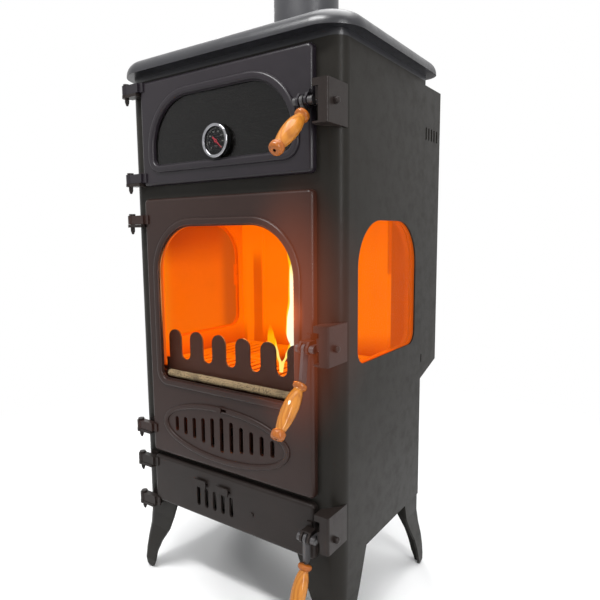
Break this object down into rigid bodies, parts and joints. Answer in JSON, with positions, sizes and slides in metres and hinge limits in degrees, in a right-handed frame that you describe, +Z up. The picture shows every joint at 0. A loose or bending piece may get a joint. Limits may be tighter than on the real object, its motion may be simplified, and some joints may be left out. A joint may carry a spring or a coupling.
{
  "type": "pellet stove",
  "caption": "Freestanding black stove with an oven, glazed fire door, ash door, latches with wooden grips, side windows, rear pellet hopper and flue on top.",
  "frame": {"origin": "centre of the bounding box in plan, on the floor under the feet", "axes": "+Z up to the flue, the doors face -Y, the latches are on +X"},
  "size_m": [0.504, 0.5082, 1.2],
  "materials": {
    "body_paint": "matte heat-resistant black",
    "bare_steel": "plain sheet steel",
    "latch_steel": "dark satin",
    "cast_iron": "rough",
    "fire_liner": "matte, lit by the fire",
    "clear_glass": "clear ceramic glass",
    "dark_glass": "smoked",
    "rope": "braided glass fibre",
    "grip_wood": "lacquered",
    "bezel_chrome": "polished",
    "dial_black": "matte",
    "pointer_red": "matte"
  },
  "bodies": {
    "stove": {"body_shell": "body_paint", "rear_panel": "body_paint", "bottom_plate": "body_paint", "ash_drawer": "bare_steel", "top_plate": "body_paint", "flue_collar": "body_paint", "flue_pipe": "body_paint", "leg_front_left": "body_paint", "leg_front_right": "body_paint", "leg_rear_left": "body_paint", "leg_rear_right": "body_paint", "right_side_glass": "clear_glass", "left_side_glass": "clear_glass", "right_glass_frame": "bare_steel", "left_glass_frame": "bare_steel", "right_liner": "fire_liner", "left_liner": "fire_liner", "back_liner": "fire_liner", "smoke_baffle": "bare_steel", "firebox_floor": "cast_iron", "fire_grate": "cast_iron", "burner_pot": "cast_iron", "oven_box": "bare_steel", "oven_rack": "bare_steel", "hopper_casing": "body_paint", "hopper_bin": "bare_steel", "pellet_chute": "bare_steel", "lid_hinge_rod": "bare_steel", "oven_hinge_brackets": "body_paint", "fire_hinge_brackets": "body_paint", "ash_hinge_brackets": "body_paint", "upper_keeper": "body_paint", "middle_keeper": "body_paint", "lower_keeper": "body_paint"},
    "oven_door": {"oven_door_panel": "body_paint", "oven_door_glass": "dark_glass", "oven_glass_retainer": "bare_steel", "oven_door_gasket": "rope", "thermometer_case": "dial_black", "thermometer_bezel": "bezel_chrome", "thermometer_lens": "clear_glass"},
    "thermometer_hand": {"thermometer_pointer": "pointer_red"},
    "upper_latch": {"upper_latch_lever": "latch_steel", "upper_latch_grip": "grip_wood"},
    "fire_door": {"fire_door_panel": "body_paint", "fire_door_glass": "clear_glass", "glass_rope": "rope", "log_comb": "cast_iron", "fire_glass_retainer": "bare_steel", "fire_door_gasket": "rope"},
    "fire_shutter": {"air_shutter": "body_paint"},
    "middle_latch": {"middle_latch_lever": "latch_steel", "middle_latch_grip": "grip_wood"},
    "ash_door": {"ash_door_panel": "body_paint", "ash_door_gasket": "rope"},
    "ash_slide": {"ash_air_slide": "body_paint"},
    "lower_latch": {"lower_latch_lever": "latch_steel", "lower_latch_grip": "grip_wood"},
    "lid": {"hopper_lid": "body_paint"}
  },
  "joints": [
    {"name": "oven_door_hinge", "type": "hinge", "parent": "stove", "child": "oven_door", "pos_m": [-0.226, -0.15591, 0.8752], "axis": [0, 0, 1], "range_deg": [-110, 0]},
    {"name": "fire_door_hinge", "type": "hinge", "parent": "stove", "child": "fire_door", "pos_m": [-0.226, -0.15591, 0.51215], "axis": [0, 0, 1], "range_deg": [-110, 0]},
    {"name": "ash_door_hinge", "type": "hinge", "parent": "stove", "child": "ash_door", "pos_m": [-0.226, -0.15591, 0.2095], "axis": [0, 0, 1], "range_deg": [-110, 0]},
    {"name": "upper_latch_turn", "type": "hinge", "parent": "oven_door", "child": "upper_latch", "pos_m": [0.187, -0.17291, 0.881], "axis": [1, 0, 0], "range_deg": [-100, 0]},
    {"name": "middle_latch_turn", "type": "hinge", "parent": "fire_door", "child": "middle_latch", "pos_m": [0.187, -0.17291, 0.517], "axis": [1, 0, 0], "range_deg": [-100, 0]},
    {"name": "lower_latch_turn", "type": "hinge", "parent": "ash_door", "child": "lower_latch", "pos_m": [0.187, -0.17291, 0.21], "axis": [1, 0, 0], "range_deg": [-100, 0]},
    {"name": "thermometer_sweep", "type": "hinge", "parent": "oven_door", "child": "thermometer_hand", "pos_m": [0.002, -0.16101, 0.846], "axis": [0, 1, 0], "range_deg": [-265, 16]},
    {"name": "fire_air_slide", "type": "slide", "parent": "fire_door", "child": "fire_shutter", "axis": [1, 0, 0], "range_m": [0, 0.01145]},
    {"name": "ash_air_slide_move", "type": "slide", "parent": "ash_door", "child": "ash_slide", "axis": [1, 0, 0], "range_m": [0, 0.0102]},
    {"name": "hopper_lid_hinge", "type": "hinge", "parent": "stove", "child": "lid", "pos_m": [0, 0.24409, 0.9635], "axis": [1, 0, 0], "range_deg": [-100, 0]}
  ]
}
